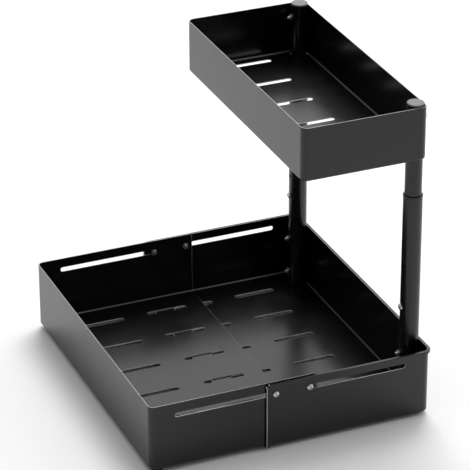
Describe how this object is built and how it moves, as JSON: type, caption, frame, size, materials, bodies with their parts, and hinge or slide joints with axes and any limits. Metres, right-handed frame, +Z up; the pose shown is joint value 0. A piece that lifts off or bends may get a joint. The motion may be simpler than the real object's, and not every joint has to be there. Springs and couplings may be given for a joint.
{
  "type": "under sink organizer",
  "caption": "Two-tier sheet-metal organizer: a lower tray that slides out of another and a smaller raised tray on telescopic corner posts.",
  "frame": {"origin": "on the surface the feet stand on, under the middle of the box of the opened organizer", "axes": "+X from the front tray towards the posts, +Y from the near side wall to the far one, +Z up"},
  "size_m": [0.2638, 0.2918, 0.2923],
  "materials": {
    "tray_powder_coat": "satin black powder coat",
    "tube_powder_coat": "satin black powder coat on round tube",
    "zinc_plated_steel": "bright zinc plate",
    "bush_plastic": "moulded black plastic",
    "cap_plastic": "moulded grey plastic",
    "foot_rubber": "moulded black rubber"
  },
  "bodies": {
    "rear_frame": {"rear_tray": "tray_powder_coat", "lower_tube_near": "tube_powder_coat", "lower_tube_far": "tube_powder_coat", "tube_bush_near": "bush_plastic", "tube_bush_far": "bush_plastic", "post_screws_near": "zinc_plated_steel", "post_screws_far": "zinc_plated_steel", "post_nuts_near": "zinc_plated_steel", "post_nuts_far": "zinc_plated_steel", "rear_guide_screw_near": "zinc_plated_steel", "rear_guide_screw_far": "zinc_plated_steel", "rear_guide_nut_near": "zinc_plated_steel", "rear_guide_nut_far": "zinc_plated_steel", "rear_foot_near": "foot_rubber", "rear_foot_far": "foot_rubber"},
    "front_half": {"front_tray": "tray_powder_coat", "front_guide_screw_near": "zinc_plated_steel", "front_guide_screw_far": "zinc_plated_steel", "front_guide_nut_near": "zinc_plated_steel", "front_guide_nut_far": "zinc_plated_steel", "front_foot_near": "foot_rubber", "front_foot_far": "foot_rubber"},
    "upper_tier": {"upper_tray": "tray_powder_coat", "upper_tube_near": "tube_powder_coat", "upper_tube_far": "tube_powder_coat", "tube_cap_near": "cap_plastic", "tube_cap_far": "cap_plastic", "tier_screw_near": "zinc_plated_steel", "tier_screw_far": "zinc_plated_steel", "tier_nut_near": "zinc_plated_steel", "tier_nut_far": "zinc_plated_steel"},
    "lock_near": {"lock_screw_near": "zinc_plated_steel"},
    "lock_far": {"lock_screw_far": "zinc_plated_steel"}
  },
  "joints": [
    {"name": "front_slide", "type": "slide", "parent": "rear_frame", "child": "front_half", "axis": [1, 0, 0], "range_m": [0, 0.089]},
    {"name": "height_slide", "type": "slide", "parent": "rear_frame", "child": "upper_tier", "axis": [0, 0, 1], "range_m": [0, 0.06]},
    {"name": "lock_screw_near_out", "type": "slide", "parent": "rear_frame", "child": "lock_near", "axis": [-1, 0, 0], "range_m": [0, 0.008]},
    {"name": "lock_screw_far_out", "type": "slide", "parent": "rear_frame", "child": "lock_far", "axis": [-1, 0, 0], "range_m": [0, 0.008]}
  ]
}
